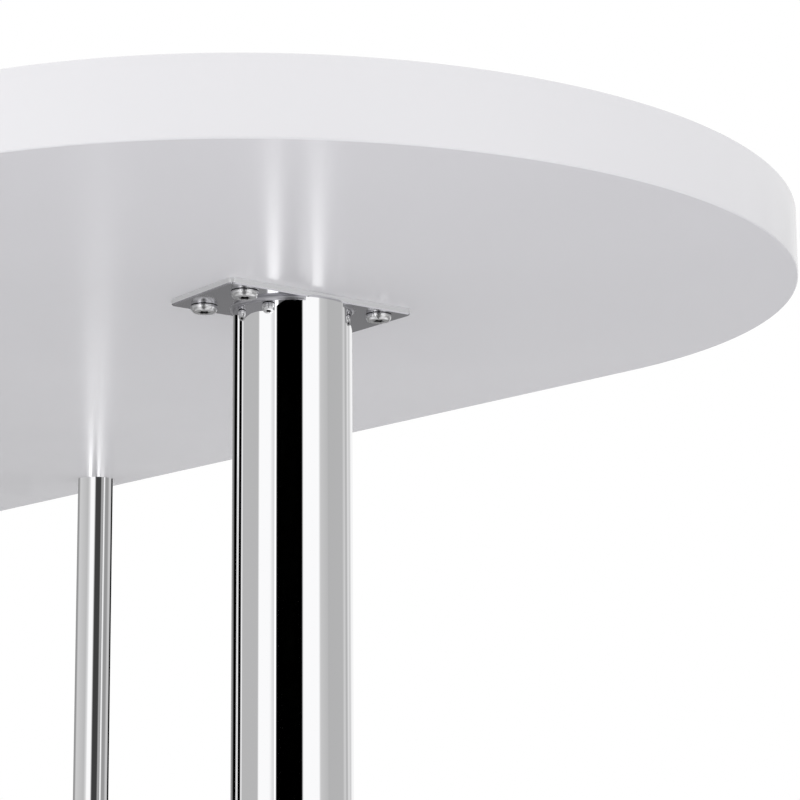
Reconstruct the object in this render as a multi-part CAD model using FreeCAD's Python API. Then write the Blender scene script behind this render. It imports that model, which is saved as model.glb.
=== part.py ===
import FreeCAD, Part
import math
import os

# Bar-height bistro table with a U-shaped top, one thick column under the round end and two thin legs under
# the straight end. Millimetres. The origin is on the floor under the middle of the top, +X points to the
# round end, +Y to the left long side and +Z up.

# Overall size
TOP_LENGTH = 1250
TOP_WIDTH = 550
TABLE_HEIGHT = 1070
TOP_THICKNESS = 34
TOP_EDGE_RADIUS = 0.8
STRAIGHT_END_CORNER_RADIUS = 12

# Where the legs stand
COLUMN_FROM_ROUND_END = 260
LEG_BEHIND_COLUMN = 665
LEG_FROM_LONG_EDGE = 37

# Tubes
COLUMN_DIAMETER = 63.5
COLUMN_WALL = 2
LEG_DIAMETER = 32
LEG_WALL = 1.5

# Steel plate that the column is welded to
PLATE_ALONG = 60
PLATE_ACROSS = 116
PLATE_THICKNESS = 3
PLATE_CORNER_RADIUS = 3
PLATE_EDGE_CHAMFER = 0.6
PLATE_HOLE_RADIUS = 4.5
PLATE_HOLE_ALONG = 19.5
PLATE_HOLE_ACROSS = 43
WELD_LEG = 2

# Pan-head screws, M8 with a six-lobe recess
SCREW_RADIUS = 3.95
SCREW_LENGTH = 18
SCREW_TIP_CHAMFER = 0.8
HEAD_RADIUS = 7
HEAD_HEIGHT = 3.5
HEAD_RIM_HEIGHT = 0.9
HEAD_CROWN_RADIUS = 5.8
HEAD_BULGE = 0.31
HEAD_SEAT_CHAMFER = 0.35
RECESS_LOBE_DIAMETER = 6.6
RECESS_WAIST_DIAMETER = 4.75
RECESS_LOBE_RADIUS = 0.55
RECESS_DEPTH = 2.5

# Threaded inserts in the underside of the top
SCREW_INSERT_RADIUS = 6
SCREW_INSERT_LENGTH = 16
LEG_INSERT_RADIUS = 7.5
LEG_INSERT_LENGTH = 20
PILOT_HOLE_EXTRA_DEPTH = 4
THREAD_CLEARANCE = 0.05

# Threaded stud that holds a thin leg, and the disc in the leg's top end
STUD_RADIUS = 5
STUD_INTO_TOP = 18
STUD_INTO_LEG = 14
TOP_PLUG_THICKNESS = 10

# Levelling feet: sole, pad, screw, lock nut and end plug, stacked up from the floor
SOLE_THICKNESS = 3
SOLE_RECESS = 1.5
PAD_RIM_HEIGHT = 3
PAD_FLOOR = 1.5
PAD_BOSS_HEIGHT = 9.5
COLLAR_HEIGHT = 3
AXIAL_PLAY = 0.1
RADIAL_PLAY = 0.1
HEX_ABOVE_PAD = 1
HEX_HEIGHT = 5
HEX_TO_NUT_GAP = 0.3
PLUG_FLANGE = 3.5
PLUG_DEPTH = 22
PLUG_EDGE_RADIUS = 0.8
BUSH_WALL = 3
SCREW_ABOVE_HEX = 34

UNDERSIDE = TABLE_HEIGHT - TOP_THICKNESS
PLATE_BOTTOM = UNDERSIDE - PLATE_THICKNESS
ROUND_END_RADIUS = TOP_WIDTH / 2
ARC_CENTRE_X = TOP_LENGTH / 2 - ROUND_END_RADIUS
COLUMN_X = TOP_LENGTH / 2 - COLUMN_FROM_ROUND_END
LEG_X = COLUMN_X - LEG_BEHIND_COLUMN
LEG_Y = TOP_WIDTH / 2 - LEG_FROM_LONG_EDGE

# One row per foot: tube diameter and wall, then the pad, screw, spanner and lock nut that fit it
FEET = {
    "column": {"place": (COLUMN_X, 0), "diameter": COLUMN_DIAMETER, "wall": COLUMN_WALL, "pad": 25,
               "screw": 5, "collar": 7, "hex_flats": 14, "nut_flats": 17, "nut_height": 5},
    "left_leg": {"place": (LEG_X, LEG_Y), "diameter": LEG_DIAMETER, "wall": LEG_WALL, "pad": 15,
                 "screw": 4, "collar": 6, "hex_flats": 12, "nut_flats": 13, "nut_height": 4},
    "right_leg": {"place": (LEG_X, -LEG_Y), "diameter": LEG_DIAMETER, "wall": LEG_WALL, "pad": 15,
                  "screw": 4, "collar": 6, "hex_flats": 12, "nut_flats": 13, "nut_height": 4},
}


def vector(x, y, z=0):
    return FreeCAD.Vector(x, y, z)


def save(node, *solids):
    """Writes the solids of one sub-part to its own STEP file."""
    for solid in solids:
        if not solid.isValid() or solid.Volume <= 0:
            raise ValueError(node + " has a bad solid")
    shape = solids[0] if len(solids) == 1 else Part.makeCompound(list(solids))
    shape.exportStep("parts/" + node + ".step")


def cylinder(radius, low, high):
    return Part.makeCylinder(radius, high - low, vector(0, 0, low))


def pipe(outer, inner, low, high):
    return cylinder(outer, low, high).cut(cylinder(inner, low, high))


def turned(profile):
    """Turns a closed profile of (radius, z) points round the Z axis."""
    points = [vector(radius, 0, z) for radius, z in profile]
    face = Part.Face(Part.makePolygon(points + points[:1]))
    return face.revolve(vector(0, 0), vector(0, 0, 1), 360)


def hexagon(across_flats, low, high):
    """A hexagonal prism with its corners turned down to a cone at both ends, as on a nut."""
    corner = across_flats / math.sqrt(3)
    points = [vector(corner * math.cos(math.radians(a)), corner * math.sin(math.radians(a)), low)
              for a in range(0, 420, 60)]
    prism = Part.Face(Part.makePolygon(points)).extrude(vector(0, 0, high - low))
    flat = across_flats / 2
    drop = (corner - flat) * math.tan(math.radians(30))
    turned_down = turned([(0, low), (flat, low), (corner, low + drop), (corner, high - drop), (flat, high),
                          (0, high)])
    return prism.common(turned_down)


def at(shape, x, y):
    """A copy of a shape made on the Z axis, moved to its place on the plan."""
    moved = shape.copy()
    moved.translate(vector(x, y))
    return moved


def round_horizontal_edges(solid, radius, levels):
    """Rounds the outline edges that lie at the given heights."""
    edges = [edge for edge in solid.Edges
             if any(abs(edge.BoundBox.ZMin - z) < 1e-6 and abs(edge.BoundBox.ZMax - z) < 1e-6 for z in levels)]
    return solid.makeFillet(radius, edges)


def pilot_hole(radius, depth):
    """A blind hole drilled up into the top, with the drill's cone at its end."""
    end = UNDERSIDE + depth
    return turned([(0, UNDERSIDE), (radius, UNDERSIDE), (radius, end), (0, end + radius / 2)])


def plate_hole_places():
    return [(COLUMN_X + sx * PLATE_HOLE_ALONG, sy * PLATE_HOLE_ACROSS) for sx in (-1, 1) for sy in (-1, 1)]


def leg_places():
    return [(LEG_X, LEG_Y), (LEG_X, -LEG_Y)]


def make_table_top():
    """The U-shaped board: half a circle at one end, small corner radii at the other."""
    back = -TOP_LENGTH / 2
    side = TOP_WIDTH / 2
    r = STRAIGHT_END_CORNER_RADIUS
    inset = r * (1 - math.sqrt(0.5))
    z = UNDERSIDE
    outline = [
        Part.LineSegment(vector(back + r, -side, z), vector(ARC_CENTRE_X, -side, z)),
        Part.Arc(vector(ARC_CENTRE_X, -side, z), vector(TOP_LENGTH / 2, 0, z), vector(ARC_CENTRE_X, side, z)),
        Part.LineSegment(vector(ARC_CENTRE_X, side, z), vector(back + r, side, z)),
        Part.Arc(vector(back + r, side, z), vector(back + inset, side - inset, z), vector(back, side - r, z)),
        Part.LineSegment(vector(back, side - r, z), vector(back, r - side, z)),
        Part.Arc(vector(back, r - side, z), vector(back + inset, inset - side, z), vector(back + r, -side, z)),
    ]
    face = Part.Face(Part.Wire([curve.toShape() for curve in outline]))
    board = face.extrude(vector(0, 0, TOP_THICKNESS))
    board = round_horizontal_edges(board, TOP_EDGE_RADIUS, (UNDERSIDE, TABLE_HEIGHT))
    for x, y in plate_hole_places():
        hole = pilot_hole(SCREW_INSERT_RADIUS, SCREW_INSERT_LENGTH + PILOT_HOLE_EXTRA_DEPTH)
        board = board.cut(at(hole, x, y))
    for x, y in leg_places():
        hole = pilot_hole(LEG_INSERT_RADIUS, LEG_INSERT_LENGTH + PILOT_HOLE_EXTRA_DEPTH)
        board = board.cut(at(hole, x, y))
    save("table_top", board)


def make_inserts():
    """Threaded steel inserts, screwed into the underside of the board and flush with it."""
    screw_insert = pipe(SCREW_INSERT_RADIUS, SCREW_RADIUS + THREAD_CLEARANCE, UNDERSIDE,
                        UNDERSIDE + SCREW_INSERT_LENGTH)
    save("plate_inserts", *[at(screw_insert, x, y) for x, y in plate_hole_places()])
    leg_insert = pipe(LEG_INSERT_RADIUS, STUD_RADIUS, UNDERSIDE, UNDERSIDE + LEG_INSERT_LENGTH)
    save("leg_inserts", *[at(leg_insert, x, y) for x, y in leg_places()])


def make_column_plate():
    """The polished steel plate between the column and the board, with four clearance holes."""
    plate = Part.makeBox(PLATE_ALONG, PLATE_ACROSS, PLATE_THICKNESS,
                         vector(COLUMN_X - PLATE_ALONG / 2, -PLATE_ACROSS / 2, PLATE_BOTTOM))
    uprights = [edge for edge in plate.Edges if edge.BoundBox.ZLength > PLATE_THICKNESS / 2]
    plate = plate.makeFillet(PLATE_CORNER_RADIUS, uprights)
    lower_rim = [edge for edge in plate.Edges if abs(edge.BoundBox.ZMax - PLATE_BOTTOM) < 1e-6]
    plate = plate.makeChamfer(PLATE_EDGE_CHAMFER, lower_rim)
    for x, y in plate_hole_places():
        plate = plate.cut(at(cylinder(PLATE_HOLE_RADIUS, PLATE_BOTTOM, UNDERSIDE), x, y))
    save("column_plate", plate)


def six_lobe_recess():
    """The screw's driving recess: six outward lobes joined by six hollow waists, all tangent arcs."""
    lobe_centre = RECESS_LOBE_DIAMETER / 2 - RECESS_LOBE_RADIUS
    waist = RECESS_WAIST_DIAMETER / 2
    cos30 = math.cos(math.radians(30))
    hollow_radius = ((lobe_centre ** 2 + waist ** 2 - 2 * lobe_centre * waist * cos30 - RECESS_LOBE_RADIUS ** 2)
                     / (2 * (RECESS_LOBE_RADIUS - waist + lobe_centre * cos30)))

    def polar(radius, degrees):
        return vector(radius * math.cos(math.radians(degrees)), radius * math.sin(math.radians(degrees)),
                      PLATE_BOTTOM - HEAD_HEIGHT)

    def join(lobe_angle, hollow_angle):
        centre = polar(lobe_centre, lobe_angle)
        towards = polar(waist + hollow_radius, hollow_angle) - centre
        return centre + towards * (RECESS_LOBE_RADIUS / towards.Length)

    arcs = []
    for angle in range(0, 360, 60):
        arcs.append(Part.Arc(join(angle, angle - 30), polar(RECESS_LOBE_DIAMETER / 2, angle),
                             join(angle, angle + 30)))
        arcs.append(Part.Arc(join(angle, angle + 30), polar(waist, angle + 30), join(angle + 60, angle + 30)))
    face = Part.Face(Part.Wire([arc.toShape() for arc in arcs]))
    return face.extrude(vector(0, 0, RECESS_DEPTH))


def make_plate_screws():
    """Pan-head screws: a short rim, a full shoulder round to a flat crown, and a shank into the insert."""
    seat = PLATE_BOTTOM
    crown = seat - HEAD_HEIGHT
    rim = seat - HEAD_RIM_HEIGHT
    drop = rim - crown
    inset = HEAD_RADIUS - HEAD_CROWN_RADIUS
    outwards = vector(drop, 0, -inset) * (HEAD_BULGE / math.hypot(drop, inset))
    dome_middle = vector((HEAD_RADIUS + HEAD_CROWN_RADIUS) / 2, 0, (rim + crown) / 2) + outwards
    edges = [
        Part.LineSegment(vector(0, 0, crown), vector(HEAD_CROWN_RADIUS, 0, crown)),
        Part.Arc(vector(HEAD_CROWN_RADIUS, 0, crown), dome_middle, vector(HEAD_RADIUS, 0, rim)),
        Part.LineSegment(vector(HEAD_RADIUS, 0, rim), vector(HEAD_RADIUS, 0, seat - HEAD_SEAT_CHAMFER)),
        Part.LineSegment(vector(HEAD_RADIUS, 0, seat - HEAD_SEAT_CHAMFER),
                         vector(HEAD_RADIUS - HEAD_SEAT_CHAMFER, 0, seat)),
        Part.LineSegment(vector(HEAD_RADIUS - HEAD_SEAT_CHAMFER, 0, seat), vector(0, 0, seat)),
        Part.LineSegment(vector(0, 0, seat), vector(0, 0, crown)),
    ]
    head = Part.Face(Part.Wire([edge.toShape() for edge in edges])).revolve(vector(0, 0), vector(0, 0, 1), 360)
    tip = seat + SCREW_LENGTH
    shank = turned([(0, seat), (SCREW_RADIUS, seat), (SCREW_RADIUS, tip - SCREW_TIP_CHAMFER),
                    (SCREW_RADIUS - SCREW_TIP_CHAMFER, tip), (0, tip)])
    screw = head.fuse(shank).cut(six_lobe_recess()).removeSplitter()
    save("column_plate_screws", *[at(screw.Solids[0], x, y) for x, y in plate_hole_places()])


def make_column_weld():
    """The weld: a hollow fillet where the plate reaches past the tube, and a filled step where it doesn't."""
    outer = COLUMN_DIAMETER / 2
    top = PLATE_BOTTOM
    throat = WELD_LEG * 0.38
    edges = [
        Part.LineSegment(vector(outer, 0, top), vector(outer + WELD_LEG, 0, top)),
        Part.Arc(vector(outer + WELD_LEG, 0, top), vector(outer + throat, 0, top - throat),
                 vector(outer, 0, top - WELD_LEG)),
        Part.LineSegment(vector(outer, 0, top - WELD_LEG), vector(outer, 0, top)),
    ]
    ring = Part.Face(Part.Wire([edge.toShape() for edge in edges])).revolve(vector(0, 0), vector(0, 0, 1), 360)
    reach = 2 * outer
    footprint = Part.makeBox(PLATE_ALONG - 2 * PLATE_EDGE_CHAMFER, 2 * reach, 2 * reach,
                             vector(PLATE_EDGE_CHAMFER - PLATE_ALONG / 2, -reach, top - reach))
    fillets = ring.common(footprint)
    step_height = PLATE_THICKNESS / 2
    step = turned([(outer - COLUMN_WALL, top), (outer, top), (outer, top + step_height / 2),
                   (outer - step_height / 2, top + step_height), (outer - COLUMN_WALL, top + step_height)])
    plate_slab = Part.makeBox(PLATE_ALONG, 2 * reach, 2 * reach, vector(-PLATE_ALONG / 2, -reach, top - reach))
    steps = step.cut(plate_slab)
    save("column_weld", *[at(solid, COLUMN_X, 0) for solid in fillets.Solids + steps.Solids])


def make_leg_top(name, x, y):
    """The disc pressed and welded into a thin leg's top end, and the stud that screws it to the board."""
    inner = LEG_DIAMETER / 2 - LEG_WALL
    disc = pipe(inner, STUD_RADIUS, UNDERSIDE - TOP_PLUG_THICKNESS, UNDERSIDE)
    save(name + "_top_plug", at(disc, x, y))
    low = UNDERSIDE - STUD_INTO_LEG
    high = UNDERSIDE + STUD_INTO_TOP
    chamfer = SCREW_TIP_CHAMFER
    radius = STUD_RADIUS - THREAD_CLEARANCE
    stud = turned([(0, low), (radius - chamfer, low), (radius, low + chamfer), (radius, high - chamfer),
                   (radius - chamfer, high), (0, high)])
    save(name + "_stud", at(stud, x, y))


def make_foot(name, foot):
    """A levelling foot and the end plug that it screws into, stacked up from the floor."""
    x, y = foot["place"]
    outer = foot["diameter"] / 2
    inner = outer - foot["wall"]
    collar_low = SOLE_RECESS + SOLE_RECESS + PAD_FLOOR
    collar_high = collar_low + COLLAR_HEIGHT
    hex_low = PAD_BOSS_HEIGHT + HEX_ABOVE_PAD
    hex_high = hex_low + HEX_HEIGHT
    nut_low = hex_high + HEX_TO_NUT_GAP
    nut_high = nut_low + foot["nut_height"]
    tube_low = nut_high + PLUG_FLANGE
    screw = foot["screw"]
    neck = screw - 0.8

    sole_radius = foot["pad"] - 2
    save(name + "_foot_sole", at(cylinder(sole_radius, 0, SOLE_THICKNESS), x, y))

    boss = foot["collar"] + 2.5
    pad = turned([
        (0, SOLE_THICKNESS), (sole_radius, SOLE_THICKNESS), (sole_radius, SOLE_RECESS),
        (foot["pad"] - 0.5, SOLE_RECESS), (foot["pad"], SOLE_RECESS + 0.5), (foot["pad"], PAD_RIM_HEIGHT + 0.7),
        (foot["pad"] - 0.7, PAD_RIM_HEIGHT + 1.4), (boss, PAD_BOSS_HEIGHT - 0.6), (boss - 0.6, PAD_BOSS_HEIGHT),
        (neck + RADIAL_PLAY, PAD_BOSS_HEIGHT), (neck + RADIAL_PLAY, collar_high + AXIAL_PLAY),
        (foot["collar"] + RADIAL_PLAY, collar_high + AXIAL_PLAY),
        (foot["collar"] + RADIAL_PLAY, collar_low - AXIAL_PLAY), (0, collar_low - AXIAL_PLAY),
    ])
    save(name + "_foot_pad", at(pad, x, y))

    tip = hex_high + SCREW_ABOVE_HEX
    shank = turned([
        (0, collar_low), (foot["collar"], collar_low), (foot["collar"], collar_high), (neck, collar_high),
        (neck, hex_low), (screw - THREAD_CLEARANCE, hex_low), (screw - THREAD_CLEARANCE, tip - SCREW_TIP_CHAMFER),
        (screw - THREAD_CLEARANCE - SCREW_TIP_CHAMFER, tip), (0, tip),
    ])
    foot_screw = shank.fuse(hexagon(foot["hex_flats"], hex_low, hex_high)).removeSplitter()
    save(name + "_foot_screw", at(foot_screw.Solids[0], x, y))

    nut = hexagon(foot["nut_flats"], nut_low, nut_high).cut(cylinder(screw, nut_low, nut_high))
    save(name + "_lock_nut", at(nut, x, y))

    bush_outer = screw + BUSH_WALL
    bush_high = tube_low + PLUG_DEPTH
    save(name + "_plug_bush", at(pipe(bush_outer, screw, nut_high, bush_high), x, y))

    edge = PLUG_EDGE_RADIUS
    plug = turned([
        (bush_outer, nut_high), (outer - edge, nut_high), (outer, nut_high + edge), (outer, tube_low),
        (inner, tube_low), (inner, bush_high - 2), (inner - 1, bush_high), (bush_outer, bush_high),
    ])
    save(name + "_end_plug", at(plug, x, y))
    return tube_low


def make_tube(name, foot, low, high):
    """A chromed steel tube with its bore open to the end plug."""
    x, y = foot["place"]
    outer = foot["diameter"] / 2
    save(name + "_tube", at(pipe(outer, outer - foot["wall"], low, high), x, y))


os.makedirs("parts", exist_ok=True)
make_table_top()
make_inserts()
make_column_plate()
make_plate_screws()
make_column_weld()
for foot_name, foot_sizes in FEET.items():
    tube_bottom = make_foot(foot_name, foot_sizes)
    tube_top = PLATE_BOTTOM if foot_name == "column" else UNDERSIDE
    make_tube(foot_name, foot_sizes, tube_bottom, tube_top)
    if foot_name != "column":
        make_leg_top(foot_name, *foot_sizes["place"])
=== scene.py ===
import math

import bmesh
import bpy
from mathutils import Matrix, Vector, noise


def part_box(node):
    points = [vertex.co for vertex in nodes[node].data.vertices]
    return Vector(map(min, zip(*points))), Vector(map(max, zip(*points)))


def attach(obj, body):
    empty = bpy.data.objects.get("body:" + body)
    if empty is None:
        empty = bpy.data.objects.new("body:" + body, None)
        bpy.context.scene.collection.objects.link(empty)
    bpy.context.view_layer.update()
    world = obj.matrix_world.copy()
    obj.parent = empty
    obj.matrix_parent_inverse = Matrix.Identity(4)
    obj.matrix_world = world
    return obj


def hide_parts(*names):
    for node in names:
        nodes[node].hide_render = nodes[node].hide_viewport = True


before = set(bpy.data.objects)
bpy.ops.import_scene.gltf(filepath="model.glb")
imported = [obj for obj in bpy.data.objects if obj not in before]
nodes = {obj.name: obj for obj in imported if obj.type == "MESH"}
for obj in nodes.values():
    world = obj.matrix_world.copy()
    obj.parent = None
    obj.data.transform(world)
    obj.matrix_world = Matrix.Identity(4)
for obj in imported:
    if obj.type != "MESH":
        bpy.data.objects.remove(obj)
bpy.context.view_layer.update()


# ---- The board: a fibreboard panel with a half-round end, its edges eased by hand, sprayed in white
# lacquer and polished to a gloss. The legs and the column plate screw up into it from below, into threaded
# inserts that end inside the panel.
board_low, board_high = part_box("table_top")
UNDERSIDE = board_low.z
BOARD_EASE = 0.0008
BOARD_CORNER = 0.012
SAME_POINT = 1e-6
ROUND_END_STEPS = 160
CORNER_STEPS = 10
CORNER_ANGLE = math.radians(35)
GRAIN_SHARE = 0.4
HAZE_RANGE = (0.4, 1.0)
LACQUER_SHADE = (0.825, 0.821, 0.838, 1)
LACQUER_LIGHT = (0.850, 0.847, 0.862, 1)


def finished_piece(bm, name, material, body=None, stands_for=None):
    """Turns a bmesh into an object at the origin, smooth but for its corners, hangs it on its body and
    hides the part it stands for.
    """
    for face in bm.faces:
        face.smooth = True
    mesh = bpy.data.meshes.new(name)
    bm.to_mesh(mesh)
    bm.free()
    mesh.set_sharp_from_angle(angle=CORNER_ANGLE)
    mesh.materials.append(material)
    piece = bpy.data.objects.new(name, mesh)
    bpy.context.scene.collection.objects.link(piece)
    if body:
        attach(piece, body)
    if stands_for:
        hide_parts(stands_for)
    return piece


def node_adder(tree):
    """A short way to add a node to a tree and set its inputs and its properties."""
    def add(kind, **values):
        node = tree.nodes.new(kind)
        for key, value in values.items():
            if key in node.inputs:
                node.inputs[key].default_value = value
            else:
                setattr(node, key, value)
        return node

    return add


def new_material(name):
    """A node material, with its shader, the place on the object, and short ways to add and join nodes."""
    material = bpy.data.materials.new(name)
    material.use_nodes = True
    tree = material.node_tree
    shader = tree.nodes["Principled BSDF"]
    place = tree.nodes.new("ShaderNodeTexCoord").outputs["Object"]
    return material, shader, place, node_adder(tree), tree.links.new


def haze_group():
    """How a polish varies over a surface: a slow drift and a fine grain between two roughnesses."""
    group = bpy.data.node_groups.new("uneven polish", "ShaderNodeTree")
    add = node_adder(group)
    join = group.links.new
    for name, kind in (("Place", "NodeSocketVector"), ("Drift Scale", "NodeSocketFloat"),
                       ("Grain Scale", "NodeSocketFloat"), ("Least", "NodeSocketFloat"),
                       ("Most", "NodeSocketFloat")):
        group.interface.new_socket(name, in_out="INPUT", socket_type=kind)
    group.interface.new_socket("Roughness", in_out="OUTPUT", socket_type="NodeSocketFloat")
    group.interface.new_socket("Drift", in_out="OUTPUT", socket_type="NodeSocketFloat")
    given = add("NodeGroupInput")
    result = add("NodeGroupOutput")
    drift = add("ShaderNodeTexNoise", Detail=2)
    grain = add("ShaderNodeTexNoise", Detail=3)
    both = add("ShaderNodeMath", operation="MULTIPLY_ADD")
    both.inputs[1].default_value = GRAIN_SHARE
    level = add("ShaderNodeMapRange")
    level.inputs["From Min"].default_value = HAZE_RANGE[0]
    level.inputs["From Max"].default_value = HAZE_RANGE[1]
    join(given.outputs["Place"], drift.inputs["Vector"])
    join(given.outputs["Place"], grain.inputs["Vector"])
    join(given.outputs["Drift Scale"], drift.inputs["Scale"])
    join(given.outputs["Grain Scale"], grain.inputs["Scale"])
    join(grain.outputs["Fac"], both.inputs[0])
    join(drift.outputs["Fac"], both.inputs[2])
    join(both.outputs[0], level.inputs["Value"])
    join(given.outputs["Least"], level.inputs["To Min"])
    join(given.outputs["Most"], level.inputs["To Max"])
    join(level.outputs["Result"], result.inputs["Roughness"])
    join(drift.outputs["Fac"], result.inputs["Drift"])
    return group


UNEVEN_POLISH = haze_group()


def add_haze(add, join, place, drift_scale, grain_scale, least, most):
    haze = add("ShaderNodeGroup", node_tree=UNEVEN_POLISH)
    haze.inputs["Drift Scale"].default_value = drift_scale
    haze.inputs["Grain Scale"].default_value = grain_scale
    haze.inputs["Least"].default_value = least
    haze.inputs["Most"].default_value = most
    join(place, haze.inputs["Place"])
    return haze


def white_lacquer():
    """White two-pack lacquer: a soft, slightly uneven gloss over a tone that drifts a little."""
    material, shader, place, add, join = new_material("white lacquer")
    haze = add_haze(add, join, place, 3.0, 9.0, 0.20, 0.23)
    tone = add("ShaderNodeValToRGB")
    tone.color_ramp.elements[0].position = 0.3
    tone.color_ramp.elements[0].color = LACQUER_SHADE
    tone.color_ramp.elements[1].position = 0.7
    tone.color_ramp.elements[1].color = LACQUER_LIGHT
    join(haze.outputs["Drift"], tone.inputs["Fac"])
    join(tone.outputs["Color"], shader.inputs["Base Color"])
    join(haze.outputs["Roughness"], shader.inputs["Roughness"])
    join(haze.outputs["Roughness"], shader.inputs["Coat Roughness"])
    shader.inputs["IOR"].default_value = 1.5
    shader.inputs["Coat Weight"].default_value = 0.5
    return material


def make_board():
    low, high = board_low, board_high
    half_width = (high.y - low.y) / 2
    arc_centre = high.x - half_width
    bm = bmesh.new()

    def arc(start, centre, steps, angle):
        """A chain of edges swept from one point round a centre, with its first and last vertex."""
        first = bm.verts.new((start[0], start[1], low.z))
        swept = bmesh.ops.spin(bm, geom=[first], cent=(centre[0], centre[1], low.z), axis=(0, 0, 1),
                               angle=angle, steps=steps)
        last = [item for item in swept["geom_last"] if isinstance(item, bmesh.types.BMVert)][0]
        return first, last

    corner_x = low.x + BOARD_CORNER
    round_end = arc((arc_centre, low.y), (arc_centre, 0), ROUND_END_STEPS, math.pi)
    left = arc((corner_x, high.y), (corner_x, high.y - BOARD_CORNER), CORNER_STEPS, math.pi / 2)
    right = arc((low.x, low.y + BOARD_CORNER), (corner_x, low.y + BOARD_CORNER), CORNER_STEPS, math.pi / 2)
    for a, b in ((round_end[1], left[0]), (left[1], right[0]), (right[1], round_end[0])):
        bm.edges.new((a, b))
    bmesh.ops.contextual_create(bm, geom=bm.edges[:])
    walls = bmesh.ops.extrude_face_region(bm, geom=bm.faces[:])
    lifted = [item for item in walls["geom"] if isinstance(item, bmesh.types.BMVert)]
    bmesh.ops.translate(bm, verts=lifted, vec=(0, 0, high.z - low.z))
    bmesh.ops.recalc_face_normals(bm, faces=bm.faces[:])
    rims = [edge for edge in bm.edges if abs(edge.verts[0].co.z - edge.verts[1].co.z) < SAME_POINT]
    bmesh.ops.bevel(bm, geom=rims, offset=BOARD_EASE, offset_type="OFFSET", segments=4, profile=0.5,
                    affect="EDGES", material=-1)
    board = finished_piece(bm, "board", white_lacquer(), "table", "table_top")
    board.modifiers.new("even shading", "WEIGHTED_NORMAL").weight = 100
    # the gloss of the metal shows the studio's light boxes and not the board over it
    board.visible_glossy = False


make_board()


# ---- Threaded inserts: zinc-plated steel sleeves, screwed into holes in the board's underside before the
# plate and the legs go on. Nothing shows of them once the table stands.
def finish_nodes(names, material):
    """Gives carried-over parts their real finish."""
    for name in names:
        mesh = nodes[name].data
        for index in range(len(mesh.materials)):
            mesh.materials[index] = material


def metal(name, colour, worn_colour, drift_scale, grain_scale, least, most):
    """A bare or plated metal: its polish drifts, and its colour dulls where the polish does."""
    material, shader, place, add, join = new_material(name)
    haze = add_haze(add, join, place, drift_scale, grain_scale, least, most)
    tone = add("ShaderNodeValToRGB")
    tone.color_ramp.elements[0].position = 0.35
    tone.color_ramp.elements[0].color = colour
    tone.color_ramp.elements[1].position = 0.7
    tone.color_ramp.elements[1].color = worn_colour
    join(haze.outputs["Drift"], tone.inputs["Fac"])
    join(tone.outputs["Color"], shader.inputs["Base Color"])
    join(haze.outputs["Roughness"], shader.inputs["Roughness"])
    shader.inputs["Metallic"].default_value = 1
    return material, shader, place, add, join


ZINC = metal("zinc plate", (0.70, 0.71, 0.73, 1), (0.60, 0.61, 0.62, 1), 180.0, 2500.0, 0.24, 0.42)[0]
finish_nodes(["plate_inserts", "leg_inserts"], ZINC)


# ---- The column plate: 3 mm steel, cut oblong, drilled at its corners, its lower edge broken, and polished
# along its length. The column is welded to it, and four screws hold it against the board.
plate_low, plate_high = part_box("column_plate")


def polished_steel(name, least, most):
    """Steel polished along Y, with the faint lines that the wheel leaves."""
    material, shader, place, add, join = metal(name, (0.58, 0.575, 0.61, 1), (0.55, 0.545, 0.58, 1),
                                               30.0, 900.0, least, most)
    along = add("ShaderNodeMapping", Scale=(2600, 40, 2600))
    lines = add("ShaderNodeTexNoise", Scale=1.0, Detail=2.0)
    bump = add("ShaderNodeBump", Strength=0.12, Distance=0.00001)
    join(place, along.inputs["Vector"])
    join(along.outputs["Vector"], lines.inputs["Vector"])
    join(lines.outputs["Fac"], bump.inputs["Height"])
    join(bump.outputs["Normal"], shader.inputs["Normal"])
    return material, shader, add, join


def cut_and_polished_steel():
    """The same on the flat faces, and the lighter satin of a cut edge on the upright ones."""
    material, shader, add, join = polished_steel("cut and polished steel", 0.06, 0.13)
    split = add("ShaderNodeSeparateXYZ")
    flat = add("ShaderNodeMath", operation="ABSOLUTE")
    face = add("ShaderNodeMapRange")
    face.inputs["From Min"].default_value = 0.3
    face.inputs["From Max"].default_value = 0.5
    for socket, edge_value in (("Roughness", (0.5, 0.5, 0.5, 1)), ("Base Color", (0.88, 0.88, 0.90, 1))):
        polished = shader.inputs[socket].links[0].from_socket
        choice = add("ShaderNodeMix", data_type="RGBA")
        choice.inputs[6].default_value = edge_value
        join(face.outputs["Result"], choice.inputs["Factor"])
        join(polished, choice.inputs[7])
        join(choice.outputs[2], shader.inputs[socket])
    join(add("ShaderNodeTexCoord").outputs["Normal"], split.inputs["Vector"])
    join(split.outputs["Z"], flat.inputs[0])
    join(flat.outputs[0], face.inputs["Value"])
    return material


finish_nodes(["column_plate"], cut_and_polished_steel())


# ---- The plate screws: nickel-plated M8 pan heads with a six-lobe recess. They go up through the plate
# into the inserts and are driven home until the heads seat on the steel.
SCREW_PLACE = (0.0195, 0.043, 0)
RECESS_RADIUS = 0.0034
# where the painted shade begins and where it is darkest: up into the recess, and below the plate
RECESS_PAINTED_SHADE = (0.0004, 0.0009)
JOINT_PAINTED_SHADE = (0.00035, 0.00025)
screws_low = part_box("column_plate_screws")[0]


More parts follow.
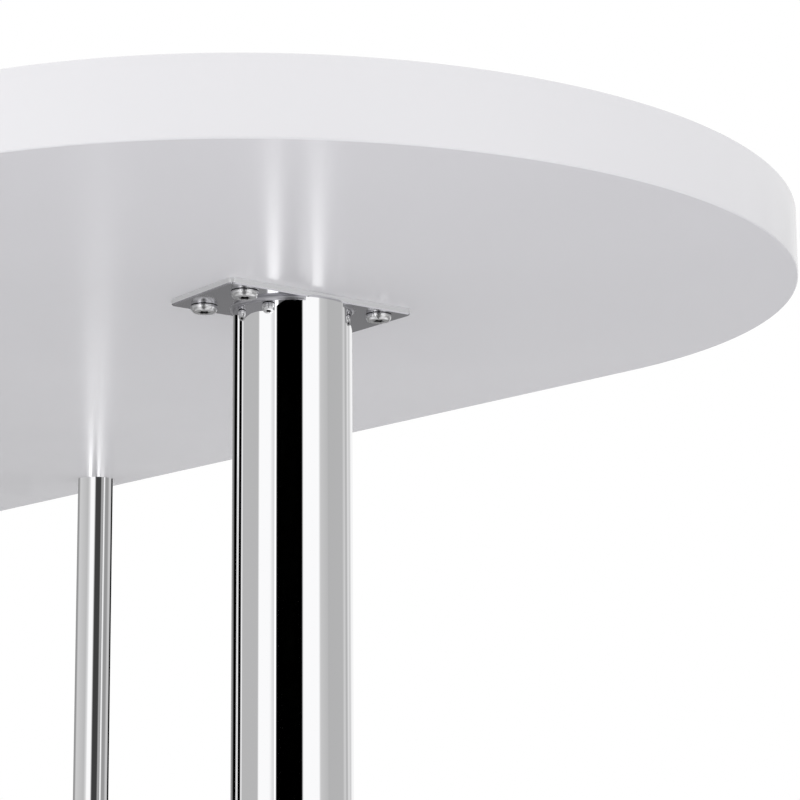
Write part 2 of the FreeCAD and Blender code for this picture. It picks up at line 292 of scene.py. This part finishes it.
def screw_nickel():
    """Bright nickel, with shade painted near-black into the driving recess and into the joint under the
    head.
    """
    material, shader, place, add, join = metal("bright nickel", (0.95, 0.95, 0.96, 1),
                                               (0.88, 0.88, 0.89, 1), 300.0, 2500.0, 0.24, 0.34)
    bright = shader.inputs["Base Color"].links[0].from_socket
    split = add("ShaderNodeSeparateXYZ")
    joint = add("ShaderNodeMapRange")
    joint.inputs["From Min"].default_value = plate_low.z - JOINT_PAINTED_SHADE[0]
    joint.inputs["From Max"].default_value = plate_low.z - JOINT_PAINTED_SHADE[1]
    inward = add("ShaderNodeMapRange")
    inward.inputs["From Min"].default_value = screws_low.z + RECESS_PAINTED_SHADE[0]
    inward.inputs["From Max"].default_value = screws_low.z + RECESS_PAINTED_SHADE[1]
    # the four screws stand alike round the middle of the plate
    about = add("ShaderNodeVectorMath", operation="SUBTRACT")
    middle = (plate_low + plate_high) / 2
    about.inputs[1].default_value = (middle.x, middle.y, 0)
    quarter = add("ShaderNodeVectorMath", operation="ABSOLUTE")
    from_axis = add("ShaderNodeVectorMath", operation="SUBTRACT")
    from_axis.inputs[1].default_value = SCREW_PLACE
    level = add("ShaderNodeVectorMath", operation="MULTIPLY")
    level.inputs[1].default_value = (1, 1, 0)
    radius = add("ShaderNodeVectorMath", operation="LENGTH")
    within = add("ShaderNodeMath", operation="LESS_THAN")
    within.inputs[1].default_value = RECESS_RADIUS
    recess = add("ShaderNodeMath", operation="MULTIPLY")
    hidden = add("ShaderNodeMath", operation="MAXIMUM")
    # painted shade: a near-black colour where the recess and the joint under the head fall into shade
    painted_shade = add("ShaderNodeMix", data_type="RGBA")
    painted_shade.inputs[7].default_value = (0.02, 0.02, 0.022, 1)
    join(place, split.inputs["Vector"])
    join(split.outputs["Z"], joint.inputs["Value"])
    join(split.outputs["Z"], inward.inputs["Value"])
    join(place, about.inputs[0])
    join(about.outputs[0], quarter.inputs[0])
    join(quarter.outputs[0], from_axis.inputs[0])
    join(from_axis.outputs[0], level.inputs[0])
    join(level.outputs[0], radius.inputs[0])
    join(radius.outputs["Value"], within.inputs[0])
    join(within.outputs[0], recess.inputs[0])
    join(inward.outputs["Result"], recess.inputs[1])
    join(joint.outputs["Result"], hidden.inputs[0])
    join(recess.outputs[0], hidden.inputs[1])
    join(hidden.outputs[0], painted_shade.inputs["Factor"])
    join(bright, painted_shade.inputs[6])
    join(painted_shade.outputs[2], shader.inputs["Base Color"])
    return material


finish_nodes(["column_plate_screws"], screw_nickel())


# ---- The column weld: run round the joint of plate and tube and ground smooth by hand. It is a hollow
# fillet on the plate, and where the tube reaches past the plate's long edges it only fills the step there.
column_low, column_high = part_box("column_tube")
weld_low, weld_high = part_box("column_weld")
COLUMN_RADIUS = (column_high.x - column_low.x) / 2
COLUMN_X = (column_high.x + column_low.x) / 2
WELD_LEG = weld_high.y - COLUMN_RADIUS
WELD_STEPS = 240
HOLLOW_STEPS = 8
# how far the grinder leaves it uneven, and how many times a metre, coarse and fine
WELD_RIPPLE = 0.00006
COARSE_RIPPLE = 350
FINE_RIPPLE = 900
ON_THE_METAL = 1e-5
PLATE_BEVEL = 0.0006
STEP_DEPTH = 0.002
STEP_HEIGHT = weld_high.z - plate_low.z


def cut_and_close(bm, point, normal):
    """Cuts off what lies beyond a plane and closes the cut."""
    everything = bm.verts[:] + bm.edges[:] + bm.faces[:]
    bmesh.ops.bisect_plane(bm, geom=everything, plane_co=point, plane_no=normal, clear_outer=True)
    bmesh.ops.holes_fill(bm, edges=[edge for edge in bm.edges if edge.is_boundary], sides=0)


def take_in(bm, other, name):
    """Adds another bmesh to this one."""
    mesh = bpy.data.meshes.new(name)
    other.to_mesh(mesh)
    other.free()
    bm.from_mesh(mesh)
    bpy.data.meshes.remove(mesh)


def ring_between(profile, sides):
    """Turns a profile of (radius, height) round the column and keeps one side of each plane of X."""
    bm = bmesh.new()
    corners = [bm.verts.new((COLUMN_X + radius, 0, height)) for radius, height in profile]
    for a, b in zip(corners, corners[1:] + corners[:1]):
        bm.edges.new((a, b))
    bmesh.ops.spin(bm, geom=bm.verts[:] + bm.edges[:], cent=(COLUMN_X, 0, 0), axis=(0, 0, 1),
                   angle=2 * math.pi, steps=WELD_STEPS, use_merge=True)
    bmesh.ops.recalc_face_normals(bm, faces=bm.faces[:])
    for plane_x, keep in sides:
        cut_and_close(bm, (plane_x, 0, 0), (-keep, 0, 0))
    return bm


def make_weld():
    top = plate_low.z
    hollow = []
    for step in range(HOLLOW_STEPS + 1):
        turn = math.pi / 2 * step / HOLLOW_STEPS
        hollow.append((COLUMN_RADIUS + WELD_LEG * (1 - math.sin(turn)),
                       top - WELD_LEG * (1 - math.cos(turn))))
    fillet_reach = (plate_high.x - plate_low.x) / 2 - PLATE_BEVEL
    bm = ring_between(hollow + [(COLUMN_RADIUS, top)],
                      [(COLUMN_X + fillet_reach, -1), (COLUMN_X - fillet_reach, 1)])
    for vert in bm.verts:
        outward = Vector((vert.co.x - COLUMN_X, vert.co.y, 0))
        if outward.length - COLUMN_RADIUS > ON_THE_METAL and top - vert.co.z > ON_THE_METAL:
            ripple = noise.noise(vert.co * COARSE_RIPPLE) + 0.6 * noise.noise(vert.co * FINE_RIPPLE)
            vert.co += (outward.normalized() - Vector((0, 0, 1))) * (ripple * WELD_RIPPLE)
    inner = COLUMN_RADIUS - STEP_DEPTH
    edge = COLUMN_RADIUS - STEP_HEIGHT / 2
    step_profile = [(inner, top), (COLUMN_RADIUS, top), (COLUMN_RADIUS, top + STEP_HEIGHT / 2),
                    (edge, top + STEP_HEIGHT), (inner, top + STEP_HEIGHT)]
    for plane_x, keep in ((plate_high.x, 1), (plate_low.x, -1)):
        take_in(bm, ring_between(step_profile, [(plane_x, keep)]), "weld step")
    steel = polished_steel("ground weld", 0.26, 0.36)[0]
    finished_piece(bm, "ground_weld", steel, "table", "column_weld")


make_weld()


# ---- The tubes: drawn steel, polished and chromed to a mirror. The column is welded under its plate, and
# the thin legs are screwed tight against the board on a stud.
def mirror_chrome():
    """Chrome over polished tube: almost a mirror, with a trace of the draw lines along it."""
    material, shader, place, add, join = new_material("mirror chrome")
    along = add("ShaderNodeMapping", Scale=(900, 900, 25))
    haze = add_haze(add, join, along.outputs["Vector"], 1.0, 3.0, 0.005, 0.025)
    join(place, along.inputs["Vector"])
    join(haze.outputs["Roughness"], shader.inputs["Roughness"])
    shader.inputs["Base Color"].default_value = (0.955, 0.955, 0.965, 1)
    shader.inputs["Metallic"].default_value = 1
    return material


CHROME = mirror_chrome()
finish_nodes(["column_tube", "left_leg_tube", "right_leg_tube"], CHROME)


# ---- The legs' upper ends: a zinc-plated steel disc pressed into each thin tube, and the stud that screws
# into the board.
finish_nodes(["left_leg_top_plug", "left_leg_stud", "right_leg_top_plug", "right_leg_stud"], ZINC)


# ---- The levelling feet, one under each tube: a plastic plug with a threaded steel bush is pressed into
# the tube, the foot screw and its lock nut go up into the bush, and the screw's collar is captive in a
# plastic pad with a rubber sole.
def moulded(name, colour, roughness, grain_scale, depth):
    """Moulded plastic or rubber: a fine eroded grain and a dull, slightly uneven sheen."""
    material, shader, place, add, join = new_material(name)
    haze = add_haze(add, join, place, 60.0, 1500.0, roughness - 0.06, roughness + 0.06)
    grain = add("ShaderNodeTexNoise", Scale=grain_scale, Detail=3.0)
    bump = add("ShaderNodeBump", Strength=0.5, Distance=depth)
    join(place, grain.inputs["Vector"])
    join(grain.outputs["Fac"], bump.inputs["Height"])
    join(bump.outputs["Normal"], shader.inputs["Normal"])
    join(haze.outputs["Roughness"], shader.inputs["Roughness"])
    shader.inputs["Base Color"].default_value = colour
    return material


BLACK_PLASTIC = moulded("black plastic", (0.022, 0.022, 0.023, 1), 0.45, 1800.0, 0.00004)
RUBBER = moulded("grey rubber", (0.06, 0.06, 0.06, 1), 0.8, 900.0, 0.00008)
# outer radius and pitch
M8 = (0.00395, 0.00125)
M10 = (0.00495, 0.0015)
FOOT_THREADS = {"column": M10, "left_leg": M8, "right_leg": M8}
THREAD_LENGTH = 0.034
THREAD_STEPS = 36
TIP_CHAMFER = 0.0008
# how deep the thread is, half its width at root and crest, and where it starts, in pitches
THREAD_DEPTH = 0.61
ROOT_SHARE = 0.42
CREST_SHARE = 0.07
THREAD_START = 0.55
BITE = 0.0001
SOLE_GROOVE = 0.0007
SOLE_STEPS = 72


def lathe(bm, profile, centre, steps):
    """Turns an open profile of (radius, height), from the axis to the axis, into a closed shape."""
    chain = [bm.verts.new((centre.x + radius, centre.y, height)) for radius, height in profile]
    edges = [bm.edges.new(pair) for pair in zip(chain, chain[1:])]
    bmesh.ops.spin(bm, geom=chain + edges, cent=(centre.x, centre.y, 0), axis=(0, 0, 1),
                   angle=2 * math.pi, steps=steps, use_merge=True)


def make_foot_screw(foot):
    """The spindle: its collar, neck and hexagon, and over them a core with the thread wound round it."""
    node = foot + "_foot_screw"
    low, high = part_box(node)
    centre = (low + high) / 2
    radius, pitch = FOOT_THREADS[foot]
    core = radius - THREAD_DEPTH * pitch
    start = high.z - THREAD_LENGTH
    bm = bmesh.new()
    bm.from_mesh(nodes[node].data)
    bmesh.ops.remove_doubles(bm, verts=bm.verts[:], dist=SAME_POINT)
    cut_and_close(bm, (0, 0, start + BITE), (0, 0, 1))
    lathe(bm, [(0, start - 10 * BITE), (core, start - 10 * BITE), (core, high.z - TIP_CHAMFER),
               (core - TIP_CHAMFER, high.z), (0, high.z)], centre, THREAD_STEPS)
    bmesh.ops.remove_doubles(bm, verts=bm.verts[:], dist=SAME_POINT)
    bmesh.ops.recalc_face_normals(bm, faces=bm.faces[:])
    turns = int((THREAD_LENGTH - TIP_CHAMFER) / pitch) - 1
    across = [(core - BITE, -ROOT_SHARE), (radius, -CREST_SHARE),
              (radius, CREST_SHARE), (core - BITE, ROOT_SHARE)]
    ridge = bmesh.new()
    section = [ridge.verts.new((centre.x + reach, centre.y, start + (THREAD_START + share) * pitch))
               for reach, share in across]
    for a, b in zip(section, section[1:] + section[:1]):
        ridge.edges.new((a, b))
    wound = bmesh.ops.spin(ridge, geom=ridge.verts[:] + ridge.edges[:], cent=(centre.x, centre.y, 0),
                           axis=(0, 0, 1), dvec=(0, 0, pitch / THREAD_STEPS), angle=2 * math.pi * turns,
                           steps=turns * THREAD_STEPS)
    ridge.faces.new(section)
    ridge.faces.new([item for item in wound["geom_last"] if isinstance(item, bmesh.types.BMVert)])
    bmesh.ops.recalc_face_normals(ridge, faces=ridge.faces[:])
    take_in(bm, ridge, "thread")
    finished_piece(bm, foot + "_spindle", ZINC, foot + "_screw", node)


def make_sole(foot):
    """The rubber sole: a disc with ring grooves in its tread and a soft lower edge."""
    node = foot + "_foot_sole"
    low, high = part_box(node)
    centre = (low + high) / 2
    radius = (high.x - low.x) / 2
    band = radius / 9
    tread, groove = low.z, low.z + SOLE_GROOVE
    profile = [(0, groove), (band, groove), (1.15 * band, tread)]
    for ring in (3, 5, 7):
        profile += [((ring - 0.6) * band, tread), ((ring - 0.45) * band, groove),
                    ((ring + 0.45) * band, groove), ((ring + 0.6) * band, tread)]
    profile += [(radius - 0.0005, tread), (radius - 0.00015, tread + 0.00015), (radius, tread + 0.0005),
                (radius, high.z), (0, high.z)]
    bm = bmesh.new()
    lathe(bm, profile, centre, SOLE_STEPS)
    bmesh.ops.remove_doubles(bm, verts=bm.verts[:], dist=SAME_POINT)
    bmesh.ops.recalc_face_normals(bm, faces=bm.faces[:])
    finished_piece(bm, foot + "_tread", RUBBER, foot + "_pad", node)


for foot in FOOT_THREADS:
    finish_nodes([foot + "_plug_bush", foot + "_lock_nut"], ZINC)
    finish_nodes([foot + "_end_plug", foot + "_foot_pad"], BLACK_PLASTIC)
    make_foot_screw(foot)
    make_sole(foot)


# ---- The camera: low and close, beside the column and just under the board, looking up along it.
CAMERA_FROM_COLUMN_TOP = Vector((0.7181, -0.4975, -0.2145))
CAMERA_HEADING = 0.9
CAMERA_PITCH = 0.1268
CAMERA_ROLL = -0.0078
LENS = 75.07
LENS_SHIFT = 0.12
column_axis = (column_low + column_high) / 2
camera = bpy.data.objects.new("camera", bpy.data.cameras.new("camera"))
bpy.context.scene.collection.objects.link(camera)
camera.data.lens = LENS
camera.data.sensor_width = 36
camera.data.shift_y = LENS_SHIFT
camera.data.clip_end = 100
camera.location = Vector((column_axis.x, column_axis.y, UNDERSIDE)) + CAMERA_FROM_COLUMN_TOP
turned = Matrix.Rotation(CAMERA_HEADING, 3, "Z")
raised = Matrix.Rotation(math.pi / 2 + CAMERA_PITCH, 3, "X")
rolled = Matrix.Rotation(CAMERA_ROLL, 3, "Z")
camera.rotation_euler = (turned @ raised @ rolled).to_euler()
bpy.context.scene.camera = camera


# ---- The studio: a pale floor, soft light from all round, a little more from the right side of the table,
# and tall white light boxes with black and grey screens between them, which the chrome shows.
FLOOR_RADIUS = 12
FLOOR_BOUNCE = (0.945, 0.94, 0.965, 1)
FLOOR_SEEN = (1.0, 1.0, 1.0, 1)
SKY_LEVEL = 1.0
SKY_TILT = (-0.12, -0.24, 0.0)
OVERHEAD = (0.85, 0.85, 0.85, 1)
# heading in degrees and brightness, round the horizon and above it
BOXES = [(-180, 0.0), (-167, 0.0), (-165, 1.0), (-159, 1.0), (-157.5, 0.0), (-148.7, 0.0), (-147.3, 0.95),
         (-145, 0.95), (-143.3, 0.48), (-102.6, 0.48), (-100.2, 1.0), (-78, 1.0), (-72.2, 0.76),
         (-68.9, 0.74), (-68.2, 1.3), (-66.2, 1.3), (-64.6, 0.0), (-16.0, 0.0), (-14.9, 1.0), (16.4, 1.0),
         (18.9, 0.58), (31, 0.46), (75, 0.47), (82, 0.65), (89, 0.42), (98, 0.77), (104, 0.58),
         (118, 0.95), (148, 0.90), (158, 0.35), (172, 0.25), (180, 0.0)]
# the same low beneath the table: pale floor, but for the shade of the black screen
NADIR = [(-180, 0.5), (-100, 0.5), (-90, 0.95), (-66, 0.95), (-60, 0.08), (-17, 0.08), (-11, 0.95),
         (10, 0.95), (22, 0.6), (45, 0.7), (60, 0.95), (85, 0.95), (110, 0.5), (180, 0.5)]
BETWEEN_BOXES = 0.15


def box_feet(behind, beside, glow, left, right):
    """The same in between: the feet of two boxes, each from heading to heading, on a shaded floor."""
    return [(-180, behind), (-163, behind), (-158, beside), (left[0] - 4, beside), (left[0], glow),
            (left[1], glow), (left[1] + 2, BETWEEN_BOXES), (right[0] - 2, BETWEEN_BOXES), (right[0], glow),
            (right[1], glow), (right[1] + 4, beside), (84, beside), (100, behind), (180, behind)]


# from below: the heights over which one ring gives way to the next, as sines above the horizon
NADIR_ENDS = (-0.58, -0.42)
DEEP_FEET = box_feet(0.15, 0.20, 0.7, (-85, -59), (0, 26))
DEEP_FEET_END = (-0.34, -0.25)
MIDDLE_FEET = box_feet(0.26, 0.32, 2.0, (-81, -63), (5, 20))
MIDDLE_FEET_END = (-0.215, -0.165)
LEG_FEET = box_feet(0.38, 0.42, 2.6, (-69, -53.5), (-19.5, -2))
LEG_FEET_END = (-0.10, -0.06)
BOXES_END = (0.24, 0.32)


def around(add, join, direction):
    """Splits a direction and gives its heading as a share of the whole turn."""
    split = add("ShaderNodeSeparateXYZ")
    heading = add("ShaderNodeMath", operation="ARCTAN2")
    share = add("ShaderNodeMapRange")
    share.inputs["From Min"].default_value = -math.pi
    share.inputs["From Max"].default_value = math.pi
    join(direction, split.inputs["Vector"])
    join(split.outputs["Y"], heading.inputs[0])
    join(split.outputs["X"], heading.inputs[1])
    join(heading.outputs[0], share.inputs["Value"])
    return split, share.outputs["Result"]


def ring(add, join, share, levels):
    """The brightness all round, as a ramp over the heading."""
    ramp = add("ShaderNodeValToRGB")
    elements = ramp.color_ramp.elements
    while len(elements) < len(levels):
        elements.new(0.5)
    for element, (degrees, level) in zip(elements, levels):
        element.position = (degrees + 180) / 360
        element.color = (level, level, level, 1)
    join(share, ramp.inputs["Fac"])
    return ramp.outputs["Color"]


def make_floor():
    bm = bmesh.new()
    bmesh.ops.create_circle(bm, cap_ends=True, segments=96, radius=FLOOR_RADIUS)
    material, shader, place, add, join = new_material("floor")
    path = add("ShaderNodeLightPath")
    seen = add("ShaderNodeMix", data_type="RGBA")
    seen.inputs[6].default_value = FLOOR_BOUNCE
    seen.inputs[7].default_value = FLOOR_SEEN
    join(path.outputs["Is Camera Ray"], seen.inputs["Factor"])
    join(seen.outputs[2], shader.inputs["Base Color"])
    shader.inputs["Roughness"].default_value = 1
    shader.inputs["Specular IOR Level"].default_value = 0
    floor = finished_piece(bm, "floor", material)
    # the floor stays under the feet when all of them are screwed out
    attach(floor, "column_pad")
    floor.visible_glossy = False


def make_surroundings():
    world = bpy.data.worlds.new("studio")
    bpy.context.scene.world = world
    world.use_nodes = True
    tree = world.node_tree
    tree.nodes.clear()
    add = node_adder(tree)
    join = tree.links.new
    path = add("ShaderNodeLightPath")
    direction = add("ShaderNodeTexCoord").outputs["Generated"]
    split, share = around(add, join, direction)

    def change(heights, below, above):
        """Goes from one colour to another between two heights."""
        step = add("ShaderNodeMapRange", interpolation_type="SMOOTHSTEP")
        step.inputs["From Min"].default_value = heights[0]
        step.inputs["From Max"].default_value = heights[1]
        mix = add("ShaderNodeMix", data_type="RGBA")
        join(split.outputs["Z"], step.inputs["Value"])
        join(step.outputs["Result"], mix.inputs["Factor"])
        for socket, colour in ((6, below), (7, above)):
            if isinstance(colour, tuple):
                mix.inputs[socket].default_value = colour
            else:
                join(colour, mix.inputs[socket])
        return mix.outputs[2]

    shown = ring(add, join, share, DEEP_FEET)
    for heights, levels in ((DEEP_FEET_END, MIDDLE_FEET), (MIDDLE_FEET_END, LEG_FEET),
                            (LEG_FEET_END, BOXES)):
        shown = change(heights, shown, ring(add, join, share, levels))
    shown = change(NADIR_ENDS, ring(add, join, share, NADIR), shown)
    shown = change(BOXES_END, shown, OVERHEAD)
    mirrored = add("ShaderNodeBackground")
    join(shown, mirrored.inputs["Color"])

    tilt = add("ShaderNodeVectorMath", operation="DOT_PRODUCT")
    tilt.inputs[1].default_value = SKY_TILT
    level = add("ShaderNodeMath", operation="ADD")
    level.inputs[1].default_value = SKY_LEVEL
    soft = add("ShaderNodeBackground", Color=(1, 1, 1, 1))
    join(direction, tilt.inputs[0])
    join(tilt.outputs["Value"], level.inputs[0])
    join(level.outputs[0], soft.inputs["Strength"])
    white = add("ShaderNodeBackground", Color=(1, 1, 1, 1))
    for_gloss = add("ShaderNodeMixShader")
    for_camera = add("ShaderNodeMixShader")
    join(path.outputs["Is Glossy Ray"], for_gloss.inputs[0])
    join(soft.outputs[0], for_gloss.inputs[1])
    join(mirrored.outputs[0], for_gloss.inputs[2])
    join(path.outputs["Is Camera Ray"], for_camera.inputs[0])
    join(for_gloss.outputs[0], for_camera.inputs[1])
    join(white.outputs[0], for_camera.inputs[2])
    join(for_camera.outputs[0], add("ShaderNodeOutputWorld").inputs["Surface"])


# the same for the painted reflection in the left leg: the brightness round a glowing screen that stands
# round that leg, as the leg sees it
LEG_PAINTED_REFLECTION = [(-180, 0.30), (-155, 0.30), (-139, 0.62), (-100, 0.55), (-75, 0.50), (-62, 0.70),
              (-54, 1.0), (-34, 1.0), (-25, 0.05), (6, 0.05), (11, 0.40), (20, 0.27), (28, 0.27),
              (32, 1.0), (36, 1.0), (40, 0.30), (60, 0.32), (74, 0.60), (90, 0.55), (97, 0.0),
              (125, 0.0), (135, 0.30), (180, 0.30)]
SCREEN_RADIUS = 0.15
SCREEN_TOP = UNDERSIDE + 0.024
SCREEN_BOTTOM = 0.001
SCREEN_STEPS = 96
# the screen is open behind the leg, and it lights nothing that stands farther from it than the leg does
SCREEN_OPENING = (math.radians(127), math.radians(177))
SCREEN_REACH = 0.158
# what looks down more steeply than this sees through it, to the floor's light
SCREEN_FALL = 0.09


def make_painted_reflection_round_leg():
    """A thin curved screen round the left leg that glows though it is no lamp: a painted reflection that
    only its chrome sees, and only from inside.
    """
    leg_low, leg_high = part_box("left_leg_tube")
    centre = (leg_low + leg_high) / 2
    bm = bmesh.new()
    opening_end = SCREEN_OPENING[1]
    x = centre.x + SCREEN_RADIUS * math.cos(opening_end)
    y = centre.y + SCREEN_RADIUS * math.sin(opening_end)
    bottom = bm.verts.new((x, y, SCREEN_BOTTOM))
    top = bm.verts.new((x, y, SCREEN_TOP))
    upright = bm.edges.new((bottom, top))
    bmesh.ops.spin(bm, geom=[bottom, top, upright], cent=(centre.x, centre.y, 0), axis=(0, 0, 1),
                   angle=2 * math.pi - (opening_end - SCREEN_OPENING[0]), steps=SCREEN_STEPS)
    for face in bm.faces:
        face.normal_update()
        outward = face.calc_center_median() - Vector((centre.x, centre.y, 0))
        if face.normal.dot(Vector((outward.x, outward.y, 0))) < 0:
            face.normal_flip()
    material, shader, place, add, join = new_material("painted reflection round leg")
    about = add("ShaderNodeVectorMath", operation="SUBTRACT")
    about.inputs[1].default_value = (centre.x, centre.y, 0)
    join(place, about.inputs[0])
    share = around(add, join, about.outputs[0])[1]
    # painted reflection: the screen glows in light and dark bands by heading, and nothing but the left
    # leg's chrome sees it
    glow = add("ShaderNodeEmission")
    clear = add("ShaderNodeBsdfTransparent")
    side = add("ShaderNodeNewGeometry")
    path = add("ShaderNodeLightPath")
    near = add("ShaderNodeMath", operation="LESS_THAN")
    near.inputs[1].default_value = SCREEN_REACH
    ray = add("ShaderNodeSeparateXYZ")
    flat = add("ShaderNodeMath", operation="LESS_THAN")
    flat.inputs[1].default_value = SCREEN_FALL
    near_and_flat = add("ShaderNodeMath", operation="MULTIPLY")
    shown = add("ShaderNodeMath", operation="MULTIPLY")
    one_sided = add("ShaderNodeMixShader")
    join(ring(add, join, share, LEG_PAINTED_REFLECTION), glow.inputs["Color"])
    join(path.outputs["Ray Length"], near.inputs[0])
    join(side.outputs["Incoming"], ray.inputs["Vector"])
    join(ray.outputs["Z"], flat.inputs[0])
    join(near.outputs[0], near_and_flat.inputs[0])
    join(flat.outputs[0], near_and_flat.inputs[1])
    join(near_and_flat.outputs[0], shown.inputs[0])
    join(side.outputs["Backfacing"], shown.inputs[1])
    join(shown.outputs[0], one_sided.inputs[0])
    join(clear.outputs[0], one_sided.inputs[1])
    join(glow.outputs[0], one_sided.inputs[2])
    join(one_sided.outputs[0], material.node_tree.nodes["Material Output"].inputs["Surface"])
    screen = finished_piece(bm, "left_leg_painted_reflection", material)
    screen.visible_camera = False
    screen.visible_diffuse = False
    screen.visible_shadow = False
    screen.visible_transmission = False
    screen.visible_volume_scatter = False


make_floor()
make_surroundings()
make_painted_reflection_round_leg()
bpy.context.scene.view_settings.view_transform = "Standard"
